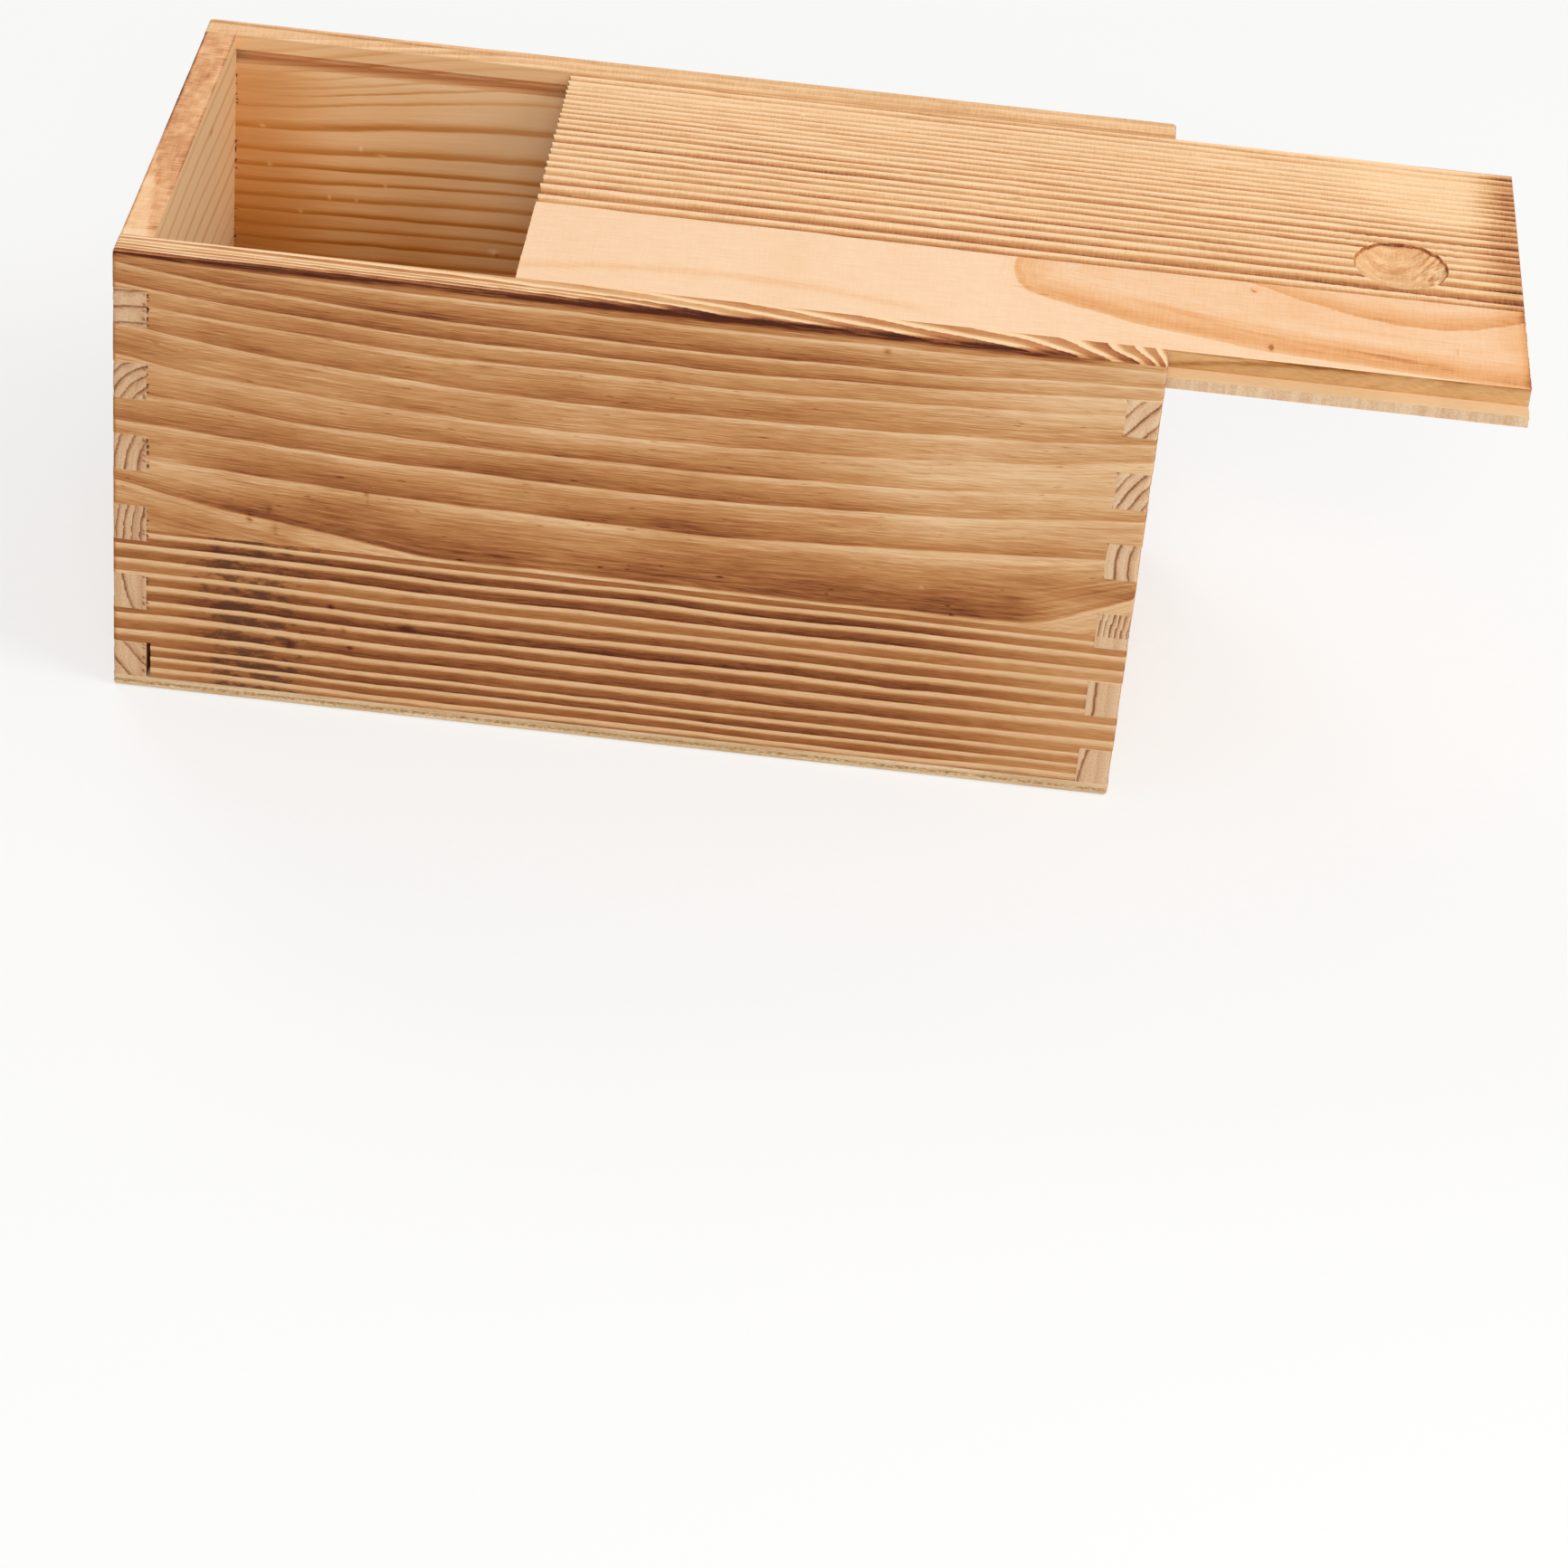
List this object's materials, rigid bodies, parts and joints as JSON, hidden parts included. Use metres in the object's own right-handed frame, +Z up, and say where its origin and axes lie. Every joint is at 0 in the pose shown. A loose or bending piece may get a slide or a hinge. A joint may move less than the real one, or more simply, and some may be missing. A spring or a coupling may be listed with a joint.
{
  "type": "sliding lid wooden box",
  "caption": "Finger-jointed pine box with scorched faces, a thin plywood bottom and a stepped lid that slides in grooves and has a round finger scoop.",
  "frame": {"origin": "centre of the box's underside", "axes": "+X the way the lid slides out, +Y from the front wall to the back wall, +Z up"},
  "size_m": [0.403, 0.152, 0.148],
  "materials": {
    "scorched_pine": "lightly torched and brushed pine, unvarnished, pale raised grain on a honey-brown ground",
    "plywood": "raw birch plywood with open sawn edges",
    "lid_pine": "lightly torched and brushed pine, paler than the walls, raw underneath"
  },
  "bodies": {
    "box": {"front_upper_board": "scorched_pine", "front_lower_board": "scorched_pine", "back_wall": "scorched_pine", "left_end_wall": "scorched_pine", "right_end_upper_board": "scorched_pine", "right_end_lower_board": "scorched_pine", "bottom_panel": "plywood"},
    "lid": {"lid_rear_board": "lid_pine", "lid_front_board": "lid_pine"}
  },
  "joints": [
    {"name": "lid_slide", "type": "slide", "parent": "box", "child": "lid", "axis": [1, 0, 0], "range_m": [-0.103, 0.172]}
  ]
}
